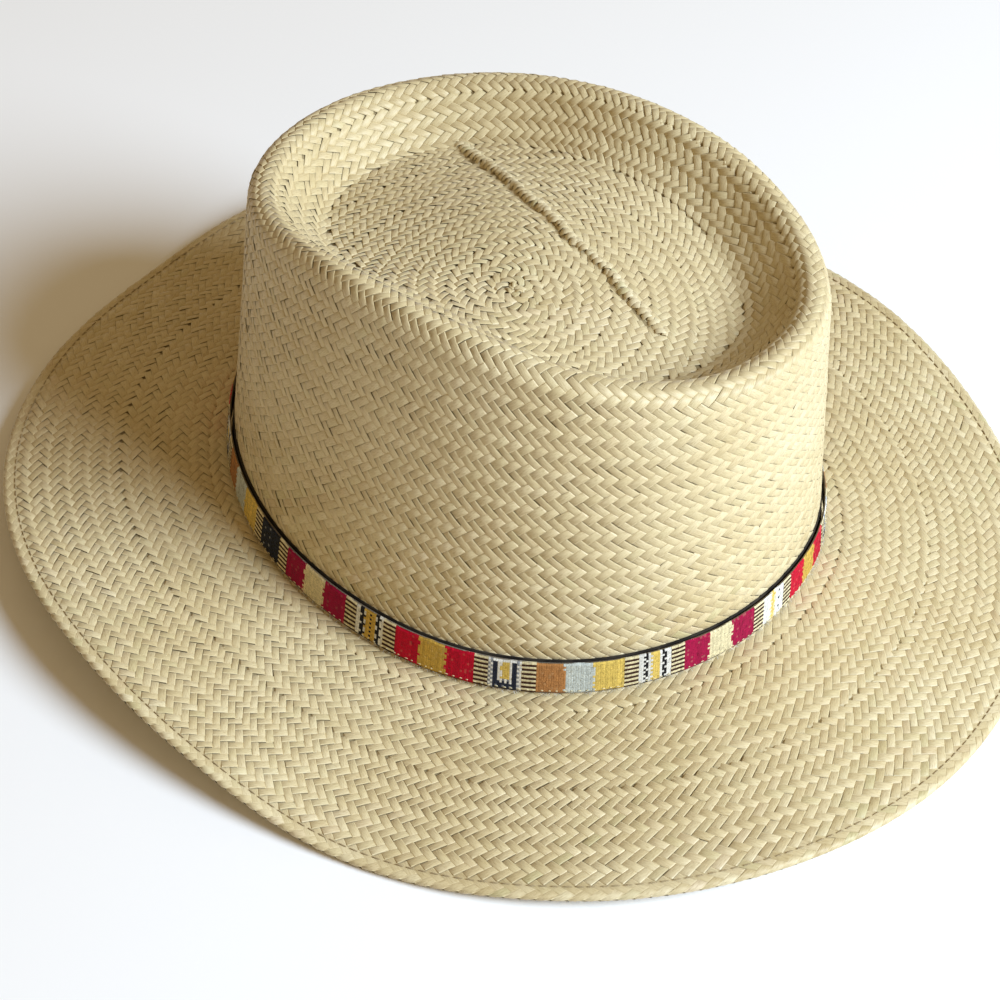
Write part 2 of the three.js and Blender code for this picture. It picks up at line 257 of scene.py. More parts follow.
def brim_path():
    foot, _, direction, _ = wall(turns)
    edge = brim_point(turns, np.ones(TURNS))
    slope = unit(edge - brim_point(turns, np.full(TURNS, 0.98)))
    normal = unit(np.cross(slope, np.cross(UP, slope)))
    radius = FOLD_RADIUS
    middle = edge - slope * radius * FOLD_TIP - normal * radius
    under = [middle - normal * radius - slope * (EDGE_FOLD * share + FOLD_LEAN)
             for share in (1, 0.75, 0.5, 0.25)]
    fold = []
    for a in np.linspace(-math.pi / 2, math.pi / 2, 12):
        back = FOLD_LEAN * (1 - math.sin(a)) / 2
        fold.append(middle + slope * (radius * FOLD_TIP * math.cos(a) - back) + normal * radius * math.sin(a))
    shares = np.linspace(1 - radius * FOLD_TIP / BRIM_WIDTH, BREAK_SIZE / BRIM_WIDTH, 200)[1:]
    top = []
    for share in shares:
        from_stitches = (1 - share) * BRIM_WIDTH - STITCH_INSET
        dent = STITCH_DENT * math.exp(-((from_stitches / DENT_WIDTH) ** 2))
        top.append(brim_point(turns, np.full(TURNS, share)) - normal * dent)
    turned_up = bend(top[-1], foot, foot + direction * BREAK_SIZE, 10)[1:]
    collar = (foot + direction * COLLAR_HEIGHT)[None]
    return np.concatenate([np.array(under + fold + top), turned_up, collar]) + SHIFT


crown_skin = Skin(crown_path())
brim_skin = Skin(brim_path())
print("rings on the crown:", crown_skin.rings, "and on the brim:", brim_skin.rings)


# %% [markdown]
# ## Gathering thousands of small patches
# A mesh of many straws is built as arrays: every straw is a copy of one small patch of quads. Each point
# also carries where it lies on its strip, and the tone of its straw, for the material to read. The hat's
# own weight presses its lowest straws flat, so no point is left below a height just over the table.

# %% A gatherer of patches
LOWEST = 0.02 * MM


class Patches:
    def __init__(self):
        self.points, self.faces, self.strip = [], [], []
        self.tone, self.slots, self.smooth = [], [], []
        self.count = 0

    def add(self, points, quads, strip, tone, slot=0, smooth=None):
        """Add n copies of a patch.

        points (n, p, 3), quads (q, 4), strip (p, 2), tone (n, 3); smooth (q) says which quads are
        shaded smoothly, and without it all are."""
        n, p = points.shape[:2]
        self.smooth.append(np.tile(np.ones(len(quads), bool) if smooth is None else smooth, n))
        self.points.append(points.reshape(-1, 3))
        self.faces.append((quads[None] + self.count + np.arange(n)[:, None, None] * p).reshape(-1, 4))
        self.strip.append(np.broadcast_to(strip, (n, p, 2)).reshape(-1, 2))
        self.tone.append(np.repeat(tone, p, 0))
        self.slots.append(np.full(n * len(quads), slot, np.int32))
        self.count += n * p

    def build(self, name, *looks):
        points, faces, strip = (np.concatenate(part) for part in (self.points, self.faces, self.strip))
        points[:, 2] = np.maximum(points[:, 2], LOWEST)
        data = bpy.data.meshes.new(name)
        data.vertices.add(len(points))
        data.vertices.foreach_set("co", points.ravel())
        data.loops.add(faces.size)
        data.loops.foreach_set("vertex_index", faces.ravel())
        data.polygons.add(len(faces))
        data.polygons.foreach_set("loop_start", np.arange(len(faces)) * 4)
        data.polygons.foreach_set("material_index", np.concatenate(self.slots))
        data.polygons.foreach_set("use_smooth", np.concatenate(self.smooth))
        for label, values in (("strip", np.column_stack([strip, np.zeros(len(strip))])),
                              ("tone", np.concatenate(self.tone))):
            data.attributes.new(label, "FLOAT_VECTOR", "POINT").data.foreach_set("vector", values.ravel())
        data.update()
        data.validate()
        for look in looks:
            data.materials.append(look)
        piece = bpy.data.objects.new(name, data)
        bpy.context.scene.collection.objects.link(piece)
        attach(piece, "root")
        print(name, "has", len(faces) * 2, "triangles")
        return piece


def grid_quads(rows, columns, closed=False):
    number = np.arange(rows * columns).reshape(rows, columns)
    if closed:
        number = np.column_stack([number, number[:, :1]])
    return np.stack([number[:-1, :-1], number[:-1, 1:], number[1:, 1:], number[1:, :-1]], -1).reshape(-1, 4)


# %% [markdown]
# ## One straw on the surface
# The hat is plaited over two, under two: each straw shows for two squares, then dives under the next two.
# Seen from outside, that makes rings of slanting straws that lean left and right by turns. The plait could
# be painted on as a bump, but real strips catch the light on their edges and leave dark slits, so each
# visible float is a small patch, a little bowed, with its ends tucked under its neighbours. Its face is
# shaded smoothly and its rims are not, which keeps the straws flat and their edges crisp.

# %% Floats of straw
rng = np.random.default_rng(7)
RISE = 0.36 * MM
# a float's face and its rims, as shares of half its length and of half its width
FACE_LENGTH, FULL_LENGTH, FACE_WIDTH, FULL_WIDTH = 0.94, 1.20, 0.80, 1.04
# how far the middle stands up, the ends dive and the edges drop, as shares of the rise
BOW, DIVE, EDGE_DROP = 0.22, 1.7, 0.42
OUTER_FLOAT = ((-FULL_LENGTH, -FACE_LENGTH, 0.0, FACE_LENGTH, FULL_LENGTH),
               (-FULL_WIDTH, -FACE_WIDTH, FACE_WIDTH, FULL_WIDTH))
INNER_FLOAT = ((-1.2, -0.75, 0.75, 1.2), (-1.0, 0.0, 1.0))


def float_shape(kind):
    """Places along (l) and across (w) a float, its height there, its quads and which are its face."""
    l, w = (part.ravel() for part in np.meshgrid(*kind, indexing="ij"))
    bow = 1 - BOW * (l / FACE_LENGTH) ** 2
    dive = DIVE * np.clip((np.abs(l) - FACE_LENGTH) / (FULL_LENGTH - FACE_LENGTH), 0, 1)
    edge = EDGE_DROP * np.clip((np.abs(w) - FACE_WIDTH) / (FULL_WIDTH - FACE_WIDTH), 0, 1)
    quads = grid_quads(len(kind[0]), len(kind[1]))
    face = (np.abs(l[quads]).max(1) < 1) & (np.abs(w[quads]).max(1) < 1)
    return l, w, RISE * (bow - dive - edge), quads, face if face.any() else np.ones(len(quads), bool)


def tones(count):
    """A tone for each straw: lightness, greenness and pinkness, most of them near the middle."""
    light = np.clip(rng.normal(0.5, 0.16, count), 0, 1)
    green = (rng.random(count) < 0.08) * rng.random(count) * 0.4
    pink = (rng.random(count) < 0.06) * rng.random(count) * 0.3
    return np.stack([light, green, pink], -1)


def steady(ideal, slack):
    """How many straws each ring has: the number stays while their width stays within the slack."""
    wider = 1 if ideal[-1] > ideal[0] else -1
    numbers = []
    for value in ideal:
        if not numbers or abs(value / numbers[-1] - 1) > slack:
            numbers.append(int(round(value * (1 + 0.9 * slack * wider))))
        else:
            numbers.append(numbers[-1])
    return numbers


class Plait:
    """Rings of floats; a straw that dives under two keeps its tone where it comes up again."""

    def __init__(self, kind, facing):
        self.l, self.w, self.height, self.quads, self.face = float_shape(kind)
        self.strip = np.stack([self.l, self.w], -1)
        self.facing = facing
        self.rings = {}

    def ring(self, ring, number):
        """Tones, places across the rings and turns of the floats in one ring, and their quads."""
        lean = 1 if ring % 2 else -1
        k = np.arange(number)
        tone = tones(number)
        before = self.rings.get(ring - 2)
        if before is not None:
            same = ((k - 2 * lean + 0.5) / number * len(before)).astype(int) % len(before)
            tone = 0.8 * before[same] + 0.2 * tone
        self.rings[ring] = tone
        w = self.w * rng.normal(1.0, 0.03, (number, 1))
        across = 0.5 + self.l - 0.5 * w + rng.normal(0, 0.03, (number, 1))
        around = lean * (0.5 + self.l + 0.5 * w) + 2 * k[:, None] + rng.normal(0, 0.04, (number, 1))
        quads = self.quads if self.facing * lean > 0 else self.quads[:, ::-1]
        return tone, ring + 0.25 + across / 2, around * 180 / number, quads

    def lift(self, number, ring):
        lean = 1 if ring % 2 else -1
        tilt = rng.normal(0.10 * lean, 0.05, (number, 1)) * MM * self.w
        return self.height + tilt + rng.normal(0, 0.03, (number, 1)) * MM


# how far a straw's width may drift before a ring gets more or fewer, and the relief that ironing leaves
SLACK, PRESSED_RELIEF = 0.12, 0.4


def plait_skin(patches, skin, first, last, kind=OUTER_FLOAT, facing=1, offset=0.0, pressed=0):
    """Rings of floats from first to last; those below the number pressed are ironed nearly flat."""
    plait = Plait(kind, facing)
    numbers = steady([skin.girth(ring + 0.5) / STEP for ring in range(skin.rings)], SLACK)
    for ring in range(first, last):
        tone, across, around, quads = plait.ring(ring, numbers[ring])
        point, normal = skin.read(around, across)
        relief = facing * (PRESSED_RELIEF if ring < pressed else 1.0)
        place = point + normal * (relief * plait.lift(numbers[ring], ring) - offset)[..., None]
        patches.add(place, quads, plait.strip, tone, smooth=plait.face)


# %% [markdown]
# ## The sunk top
# The plaiting starts at a small knot left of the middle of the top, and goes round it in circles. Where
# the dome meets the moat the circles are cut off by the slope's own rings, as happens when a round start
# is pressed over an oval block. A ridge of pinched straw runs across the dome from back to front.

# %% The height of the dome and of its crease
KNOT = np.array([-23.8, -5.7]) * MM
DOME_RING, DOME_STEP = 2.9 * MM, 3.3 * MM
CREASE_RIDGE, CREASE_SIDE = 0.6 * MM, 1.4 * MM
CREASE_GROOVE, GROOVE_PLACE, GROOVE_SIDE = 0.7 * MM, 2.4 * MM, 0.9 * MM
CREASE_STEP, STEP_REACH, STEP_PLACE, STEP_SOFTNESS = 0.5 * MM, 14 * MM, 1.0 * MM, 0.35 * MM
WOBBLE, WOBBLE_LENGTH, CREASE_FADE = 0.25 * MM, 4.1 * MM, 12 * MM
CREASE_SLANT = 0.94  # the cosine of its slant from the hat's length
# the crease in plan, from back to front
CREASE_X = np.array([34.8, 26.5, 15.3, 7.2, 3.0, -1.3, -7.8]) * MM
CREASE_Y = np.array([61.0, 39.1, 15.9, -2.8, -18.4, -31.6, -51.0]) * MM


def off_crease(xy):
    """How far left of the crease a spot lies, and how far inside the crease's ends."""
    x, y = xy[..., 0], xy[..., 1]
    path = np.interp(y, CREASE_Y[::-1], CREASE_X[::-1]) + WOBBLE * np.sin(y / WOBBLE_LENGTH)
    ends = np.clip(np.minimum(y - CREASE_Y[-1], CREASE_Y[0] - y) / CREASE_FADE, 0, 1)
    return (path - x) * CREASE_SLANT, ends


def dome_share(xy):
    turn = np.degrees(np.arctan2(xy[..., 1] - RIM_SETBACK, xy[..., 0]))
    return turn, np.hypot(xy[..., 0], xy[..., 1] - RIM_SETBACK) / moat_radius(turn)


def dome_height(xy):
    turn, share = dome_share(xy)
    share = np.minimum(share, 1)
    height = (MOAT_LEVEL + (moat_height(turn) - MOAT_LEVEL) * share**2
              + DOME_RISE * (1 + np.cos(np.pi * share)) / 2)
    aside, ends = off_crease(xy)
    ridge = CREASE_RIDGE * np.exp(-((aside / CREASE_SIDE) ** 2))
    groove = CREASE_GROOVE * np.exp(-(((aside - GROOVE_PLACE) / GROOVE_SIDE) ** 2))
    raised = (CREASE_STEP * np.exp(np.minimum(aside, 0) / STEP_REACH)
              / (1 + np.exp((aside - STEP_PLACE) / STEP_SOFTNESS)))
    return height + ends * (ridge - groove + raised)


def on_dome(xy):
    """Points and normals of the dome above the spots xy."""
    step = 0.5 * MM
    east = (dome_height(xy + [step, 0]) - dome_height(xy - [step, 0])) / (2 * step)
    north = (dome_height(xy + [0, step]) - dome_height(xy - [0, step])) / (2 * step)
    height = dome_height(xy)
    normal = unit(np.stack([-east, -north, np.ones_like(height)], -1))
    return np.concatenate([xy, height[..., None]], -1) + SHIFT, normal


# %% Plait the dome round its knot
FIRST_RINGS, DOME_RINGS, DOME_SLACK = [4, 8], 31, 0.15


def plait_dome(patches, kind=OUTER_FLOAT, facing=1, offset=0.0):
    plait = Plait(kind, facing)
    girths = [2 * math.pi * (ring + 0.5) * DOME_RING / DOME_STEP
              for ring in range(len(FIRST_RINGS), DOME_RINGS)]
    for ring, number in enumerate(FIRST_RINGS + steady(girths, DOME_SLACK)):
        tone, across, around, quads = plait.ring(ring, number)
        angle = np.radians(around)
        reach = np.maximum(across * DOME_RING, 0.1 * MM)
        spot = KNOT + np.stack([np.cos(angle), np.sin(angle)], -1) * reach[..., None]
        middle = spot.mean(1)
        keep = dome_share(middle)[1] < 1.01
        point, normal = on_dome(spot[keep])
        place = point + normal * (facing * plait.lift(keep.sum(), ring) - offset)[..., None]
        patches.add(place, quads[:, ::-1], plait.strip, tone[keep], smooth=plait.face)


# %% [markdown]
# ## The knuckles of the crease
# Where the straw is pinched, short bits of strip bend over the ridge side by side like knuckles, and the
# light leaves a dark slit on their left. Each knuckle is a short float laid across the ridge, its straw made
# a little lighter as a painted highlight.

# %% Short straws laid one by one
KNUCKLE_STEP, KNUCKLE_LENGTH, KNUCKLE_WIDTH, KNUCKLE_ARCH = 2.1 * MM, 2.8 * MM, 1.8 * MM, 0.45 * MM
# two rows: how far left of the crease, turned by how many degrees, and lifted, in mm
KNUCKLE_ROWS = ((-0.5, 25, 0.40), (0.5, -50, 0.55))


def lay(patches, spot, heading, length, width, arch, lift, tone):
    """Short arched strips on the dome: spots (n, 2), headings in degrees, sizes and tones."""
    l, w = (part.ravel() for part in np.meshgrid((-1, -0.7, 0, 0.7, 1), (-1, -0.6, 0.6, 1), indexing="ij"))
    angle = np.radians(np.broadcast_to(heading, len(spot)))
    ahead = np.stack([np.cos(angle), np.sin(angle)], -1)[:, None]
    aside = np.stack([-np.sin(angle), np.cos(angle)], -1)[:, None]
    length, width, lift = (np.broadcast_to(value, len(spot))[:, None] for value in (length, width, lift))
    plan = spot[:, None] + ahead * (l * length / 2)[..., None] + aside * (w * width / 2)[..., None]
    point, normal = on_dome(plan)
    height = arch * (1 - l**2) - 0.35 * arch * (np.abs(w) > 0.9) + lift
    patches.add(point + normal * height[..., None], grid_quads(5, 4)[:, ::-1], np.stack([l, w], -1), tone)


def knuckles(patches):
    track = np.arange(CREASE_Y[-1] + 3 * MM, CREASE_Y[0] - 1 * MM, KNUCKLE_STEP)
    for row, (aside, turned, lift) in enumerate(KNUCKLE_ROWS):
        y = track + row * KNUCKLE_STEP / 2 + rng.normal(0, 0.25 * MM, len(track))
        spot = np.stack([np.zeros_like(y), y], -1)
        spot[:, 0] = off_crease(spot)[0] / CREASE_SLANT - aside * MM + rng.normal(0, 0.2 * MM, len(y))
        heading = turned + rng.normal(0, 14, len(y))
        length = KNUCKLE_LENGTH * rng.uniform(0.75, 1.2, len(y))
        width = KNUCKLE_WIDTH * rng.uniform(0.85, 1.1, len(y))
        lift = (lift + rng.normal(0, 0.15, len(y))) * MM
        # the knuckles' tone is raised a little: painted highlight where their arched tops catch the light
        lay(patches, spot, heading, length, width, KNUCKLE_ARCH, lift, tones(len(y)) + [0.2, 0, 0])


def knot(patches):
    """Two tiny loops of straw where the plaiting starts."""
    spots = KNOT + np.array([[-1.6, 0.9], [1.4, 1.4], [0.2, -1.5]]) * MM
    headings = np.array([70, 35, -40])
    lay(patches, spots, headings, 2.6 * MM, 1.1 * MM, 0.9 * MM, 0.25 * MM, tones(3) - [0.2, 0, 0])


# %% [markdown]
# ## What lies under the floats
# Between the floats the eye sees the straws that pass below, in shade. A closed shell just under the floats
# stands for them, so that no light comes through the slits; its darker straw colour is painted shade.

# %% Shells under the plaiting
SHELL_DEPTH = 0.22 * MM
# the shell's look, a darker straw colour, is painted shade
PAINTED_SHADE_SLOT = 1  # the second look of a straw piece
EVERY_ROW, EVERY_SIDE = 5, 8


def add_loops(patches, loops, facing):
    rows, sides = loops.shape[:2]
    quads = grid_quads(rows, sides, closed=True)
    quads = quads if facing > 0 else quads[:, ::-1]
    patches.add(loops.reshape(1, -1, 3), quads, np.zeros((rows * sides, 2)), np.zeros((1, 3)), PAINTED_SHADE_SLOT)


def shell(patches, skin, depth, facing, first=0):
    last = len(skin.points) - 1
    rows = list(range(first * skin.FINE, last, EVERY_ROW)) + [last]
    add_loops(patches, (skin.points - skin.normals * depth)[rows][:, ::EVERY_SIDE], facing)


def dome_shell(patches, depth, facing):
    sides = turns[::EVERY_SIDE]
    loops = []
    for share in np.concatenate([np.linspace(1.0, 0.1, 40), [0.02]]):
        reach = (moat_radius(sides) * share)[:, None]
        point, normal = on_dome(outward(sides)[:, :2] * reach + [0, RIM_SETBACK])
        loops.append(point - normal * depth)
    add_loops(patches, np.array(loops), facing)


# %% [markdown]
# ## Materials from nodes
# Every finish is worked out by shader nodes from the place on the piece. The helpers below keep the node
# code short: one adds a node and joins or sets its inputs, the others mix colours or add a colour ramp.

# %% Helpers for shader nodes
def material(name):
    made = bpy.data.materials.new(name)
    made.use_nodes = True
    tree = made.node_tree
    tree.nodes.clear()
    output = tree.nodes.new("ShaderNodeOutputMaterial")
    shader = tree.nodes.new("ShaderNodeBsdfPrincipled")
    tree.links.new(shader.outputs[0], output.inputs[0])
    return made, tree, shader


def plug(tree, socket, value):
    if isinstance(value, bpy.types.NodeSocket):
        tree.links.new(value, socket)
    else:
        socket.default_value = value


def node(tree, kind, inputs=None, **settings):
    made = tree.nodes.new(kind)
    for name, value in settings.items():
        setattr(made, name, value)
    for name, value in (inputs or {}).items():
        plug(tree, made.inputs[name], value)
    return made


def mixed(tree, factor, first, second, blend="MIX"):
    inputs = {0: factor, 6: first, 7: second}
    return node(tree, "ShaderNodeMix", inputs, data_type="RGBA", blend_type=blend).outputs[2]


def ramp(tree, factor, *stops):
    made = node(tree, "ShaderNodeValToRGB", {"Fac": factor})
    elements = made.color_ramp.elements
    while len(elements) < len(stops):
        elements.new(0.5)
    for element, (place, colour) in zip(elements, stops):
        element.position = place
        element.color = (*colour, 1)
    return made.outputs[0]


def noise(tree, place, scale, detail=3.0):
    inputs = {"Vector": place, "Scale": scale, "Detail": detail}
    return node(tree, "ShaderNodeTexNoise", inputs).outputs["Fac"]


# %% [markdown]
# ## Straw
# Dry palm straw is pale and a little silky: its fibres run along the strip, so its colour and its fine
# bump are streaks along the float. Each straw has its own tone, stored on the mesh, which costs nothing
# and lets a few greenish and pinkish straws show, as in any hand-cut bundle.

# %% The straw's finish
def straw_look():
    made, tree, shader = material("plaited_straw")
    strip = node(tree, "ShaderNodeAttribute", attribute_name="strip").outputs["Vector"]
    tone = node(tree, "ShaderNodeAttribute", attribute_name="tone").outputs["Vector"]
    light, green, pink = node(tree, "ShaderNodeSeparateXYZ", {0: tone}).outputs
    place = node(tree, "ShaderNodeTexCoord").outputs["Object"]
    own = node(tree, "ShaderNodeVectorMath", {0: tone, 1: (37.0, 11.0, 5.0)}, operation="MULTIPLY")
    drawn = node(tree, "ShaderNodeVectorMath", {0: strip, 1: (0.6, 4.5, 1.0)}, operation="MULTIPLY")
    both = {0: drawn.outputs[0], 1: own.outputs[0]}
    moved = node(tree, "ShaderNodeVectorMath", both, operation="ADD").outputs[0]
    fibre = noise(tree, moved, 2.2, 4.0)
    base = ramp(tree, light, (0.0, (0.50, 0.38, 0.18)), (0.5, (0.66, 0.54, 0.31)), (1.0, (0.79, 0.685, 0.45)))
    base = mixed(tree, green, base, (0.52, 0.53, 0.26, 1))
    base = mixed(tree, pink, base, (0.68, 0.50, 0.36, 1))
    streak = ramp(tree, fibre, (0.34, (0.66, 0.59, 0.48)), (0.5, (1.0, 1.0, 1.0)), (0.75, (1.0, 1.0, 1.0)))
    base = mixed(tree, 0.8, base, streak, "MULTIPLY")
    worn = ramp(tree, noise(tree, place, 22.0), (0.35, (0.93, 0.90, 0.84)), (0.65, (1.0, 1.0, 1.0)))
    plug(tree, shader.inputs["Base Color"], mixed(tree, 0.8, base, worn, "MULTIPLY"))
    rough = node(tree, "ShaderNodeMapRange", {"Value": fibre, "To Min": 0.40, "To Max": 0.60}).outputs[0]
    plug(tree, shader.inputs["Roughness"], rough)
    shader.inputs["Specular IOR Level"].default_value = 0.45
    shader.inputs["Sheen Weight"].default_value = 0.1
    bump = node(tree, "ShaderNodeBump", {"Strength": 0.4, "Distance": 0.12 * MM, "Height": fibre}).outputs[0]
    plug(tree, shader.inputs["Normal"], bump)
    return made


def painted_shade_look():
    made, tree, shader = material("straw_painted_shade")
    place = node(tree, "ShaderNodeTexCoord").outputs["Object"]
    # painted shade: a darkened straw colour for the straws that pass below the floats
    colour = ramp(tree, noise(tree, place, 420.0), (0.3, (0.22, 0.16, 0.07)), (0.7, (0.38, 0.29, 0.15)))
    plug(tree, shader.inputs["Base Color"], colour)
    shader.inputs["Roughness"].default_value = 0.9
    return made


STRAW_LOOK = straw_look()
STRAW_PAINTED_SHADE = painted_shade_look()

# %% [markdown]
# ## The crown, outside and inside
# The crown is one cloth of plaiting, but its two faces are made apart: the outer one with finer floats,
# because it is what one sees, and the inner one, turned towards the head, with plainer floats.

# %% The crown's straw
crown = Patches()
plait_skin(crown, crown_skin, 0, crown_skin.rings)
plait_dome(crown)
knuckles(crown)
knot(crown)
shell(crown, crown_skin, SHELL_DEPTH, 1)
dome_shell(crown, SHELL_DEPTH, 1)
crown_piece = crown.build("crown_straw", STRAW_LOOK, STRAW_PAINTED_SHADE)
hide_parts("crown")

# %% The face of the crown's straw towards the head
crown_inside = Patches()
plait_skin(crown_inside, crown_skin, 0, crown_skin.rings, INNER_FLOAT, -1, STRAW)
plait_dome(crown_inside, INNER_FLOAT, -1, STRAW)
shell(crown_inside, crown_skin, STRAW - SHELL_DEPTH, -1)
dome_shell(crown_inside, STRAW - SHELL_DEPTH, -1)
crown_inside_piece = crown_inside.build("crown_inside_straw", STRAW_LOOK, STRAW_PAINTED_SHADE)
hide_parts("crown")

# %% [markdown]
# ## The brim, above and below
# The brim is made as the crown is. At its edge the straw is turned under and ironed, so the first five
# rings, which go round the fold and up to the stitches, lie nearly flat. The face towards the table starts
# where the fold ends, because the turned-under straw covers the rest.

# %% The brim's straw
EDGE_RINGS = 5
brim = Patches()
plait_skin(brim, brim_skin, 0, brim_skin.rings, pressed=EDGE_RINGS)
shell(brim, brim_skin, SHELL_DEPTH, 1)
brim_piece = brim.build("brim_straw", STRAW_LOOK, STRAW_PAINTED_SHADE)
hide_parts("brim")

# %% The face of the brim's straw towards the table
FOLD_LENGTH = 3 * MM
UNDER_EDGE = int(round((EDGE_FOLD + FOLD_LENGTH) / RING))
brim_under = Patches()
plait_skin(brim_under, brim_skin, UNDER_EDGE, brim_skin.rings, INNER_FLOAT, -1, STRAW)
shell(brim_under, brim_skin, STRAW - SHELL_DEPTH, -1, UNDER_EDGE)
brim_under_piece = brim_under.build("brim_under_straw", STRAW_LOOK, STRAW_PAINTED_SHADE)
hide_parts("brim")

# %% [markdown]
# ## The stitching of the brim's edge
# The brim's edge is turned under and sewn down by a line of running stitches 4 mm inside the edge. Each
# stitch is a short round thread, lying in the dent that it pulls into the straw.

# %% Running stitches
STITCH_STEP, STITCH_LENGTH, THREAD = 3.4 * MM, 2.5 * MM, 0.40 * MM


def tubes(patches, start, end, radius, tone, sides=6, bow=0.0):
    """Short round threads from start to end (n, 3), bowed upward and closed to a point at both ends."""
    ahead = unit(end - start)
    aside = unit(np.cross(ahead, UP))
    over = np.cross(aside, ahead)
    t = np.array([0, 0.12, 0.5, 0.88, 1])
    round_off = np.array([0.15, 0.85, 1, 0.85, 0.15])
    angle = np.arange(sides) * 2 * math.pi / sides
    centre = start[:, None] + (end - start)[:, None] * t[None, :, None]
    centre = centre + over[:, None] * (bow * 4 * t * (1 - t))[None, :, None]
    ring = aside[:, None, None] * np.cos(angle)[:, None] + over[:, None, None] * np.sin(angle)[:, None]
    points = centre[:, :, None] + ring * (radius * round_off)[None, :, None, None]
    strip = np.stack(np.meshgrid(t * 2 - 1, np.cos(angle), indexing="ij"), -1).reshape(-1, 2)
    patches.add(points.reshape(len(start), -1, 3), grid_quads(5, sides, closed=True)[:, ::-1], strip, tone)


def thread_look():
    made, tree, shader = material("sewing_thread")
    strip = node(tree, "ShaderNodeAttribute", attribute_name="strip").outputs["Vector"]
    twist = node(tree, "ShaderNodeTexWave", {"Vector": strip, "Scale": 2.4, "Distortion": 0.6},
                 bands_direction="DIAGONAL").outputs["Fac"]
    colour = ramp(tree, twist, (0.2, (0.34, 0.24, 0.12)), (0.8, (0.56, 0.44, 0.25)))
    plug(tree, shader.inputs["Base Color"], colour)
    shader.inputs["Roughness"].default_value = 0.8
    plug(tree, shader.inputs["Normal"],
         node(tree, "ShaderNodeBump", {"Strength": 0.5, "Distance": 0.1 * MM, "Height": twist}).outputs[0])
    return made


stitch_line = brim_point(turns, np.full(TURNS, 1 - STITCH_INSET / BRIM_WIDTH)) + SHIFT
stitch_track = np.concatenate([[0], np.cumsum(np.linalg.norm(np.diff(stitch_line, axis=0), axis=1))])
stitch_count = int(stitch_track[-1] / STITCH_STEP)


def along_stitches(distance):
    point = np.stack([np.interp(distance, stitch_track, stitch_line[:, axis]) for axis in range(3)], -1)
    return point + UP * (RISE + THREAD * 0.5 - STITCH_DENT)


stitch_start = np.arange(stitch_count) * STITCH_STEP + rng.normal(0, 0.12 * MM, stitch_count)
stitches = Patches()
tubes(stitches, along_stitches(stitch_start), along_stitches(stitch_start + STITCH_LENGTH), THREAD / 2,
      np.zeros((stitch_count, 3)))
stitches.build("brim_stitches", thread_look())

# %% [markdown]
# ## The hatband
# The band is a hand-woven ribbon: triples of plain blocks, thin lengthwise stripes, and small figures, a
# different one each time. A weaver plans such a ribbon on squared paper, and so does this script: each
# letter of a chart is the colour of one little cell of yarn, about three quarters of a millimetre wide.

# %% Dyes and charts
DYES = {
    "R": (0.62, 0.001, 0.026), "C": (0.38, 0.003, 0.05), "G": (0.67, 0.42, 0.07), "Y": (0.82, 0.58, 0.13),
    "O": (0.52, 0.23, 0.07), "B": (0.62, 0.66, 0.60), "E": (0.82, 0.70, 0.41), "W": (0.86, 0.83, 0.74),
    "D": (0.055, 0.02, 0.009), "K": (0.012, 0.011, 0.012), "N": (0.02, 0.025, 0.045), "S": (0.30, 0.31, 0.33)}
CELL = 0.74 * MM
ROWS = 14
BLOCK, STRIPES, FIGURE = 12, 6, 14
TRIPLES = ("CEC", "RGR", "OBY")

# one string for each row, from the top of the band down; a shorter chart is repeated
DOTTED_GOLD = ("WWKKGGGGGGKKWW", "WWKKWGGKGGWKKW", "WWKKWGGGGGWKWW", "WWWKKGGKGGKKWW")
CUP = ("WSWWWWWWWWWWSW", "WSNNWWYYYWNNSW", "SWNNWWYYYWNNWW", "WSNNWYYGYWNNSW", "SWNNWYYYYWNNWW",
       "WSNNWWYYYWNNSW", "SWNNWWYYYWNNWW", "WSNNWWYGYWNNSW", "SWNNWYYYYWNNWW", "WSNNWWSWSWNNSW",
       "SWNNNWNWNWNNWW", "WSNNNNNNNNNNSW", "SWNSNNSNNSNNWW", "WSNNNNNNNNNNSW")
YELLOW_BAR = ("WWWKWYYYYWKWWW", "WWKKWWYYYWKKWW", "WWWKWYYYYWWKWW", "WWKWWWYYYWKKWW")
PALE_BAR = ("WWWWWEYEWWWWWW", "WWWWWYYYWWKWWW", "WWWWWEYEWWWWWW", "WWWWEYYEWWWWWW")
DARK_KNOT = ("NKNNKKNNKNNKKN", "KNNKNNSNNKNNKN", "NNKNNKNNKNKNNK", "NKSKNNKNNKNNKN")
FIGURES = {0: (DOTTED_GOLD, PALE_BAR), 1: (CUP, CUP), 2: (YELLOW_BAR, DARK_KNOT)}


def chart(columns, first):
    """The dye letter of every cell, for a ribbon whose first column is number first of the pattern."""
    letters = np.empty((ROWS, columns), "<U1")
    lengthwise = np.zeros((ROWS, columns), bool)
    unit_length = 3 * BLOCK + 2 * STRIPES + FIGURE
    for row in range(ROWS):
        tooth = rng.random(columns // 6 + 2) < 0.3
        for column in range(columns):
            order, at = divmod(column + first, unit_length)
            if at < 3 * BLOCK:
                at = min(3 * BLOCK - 1, at + int(tooth[column // 6]) * (at % BLOCK == BLOCK - 1))
                letters[row, column] = TRIPLES[order % 3][at // BLOCK]
                continue
            at -= 3 * BLOCK
            if STRIPES <= at < STRIPES + FIGURE:
                figure = FIGURES[order % 3][(order // 3) % 2]
                letters[row, column] = figure[row % len(figure)][at - STRIPES]
            else:
                letters[row, column] = "E" if row % 2 == 0 else "D"
                lengthwise[row, column] = True
    return letters, lengthwise


# %% Strips round the wall
def strip_skin(clearance, low, high, steps):
    """A face round the foot of the crown: points (steps, TURNS, 3) and normals (TURNS, 3)."""
    foot, _, direction, _ = wall(turns)
    normal = unit(np.cross(np.roll(foot, -1, 0) - np.roll(foot, 1, 0), direction))
    heights = np.linspace(low, high, steps)[:, None, None]
    return foot + direction * heights + normal * clearance + SHIFT, normal


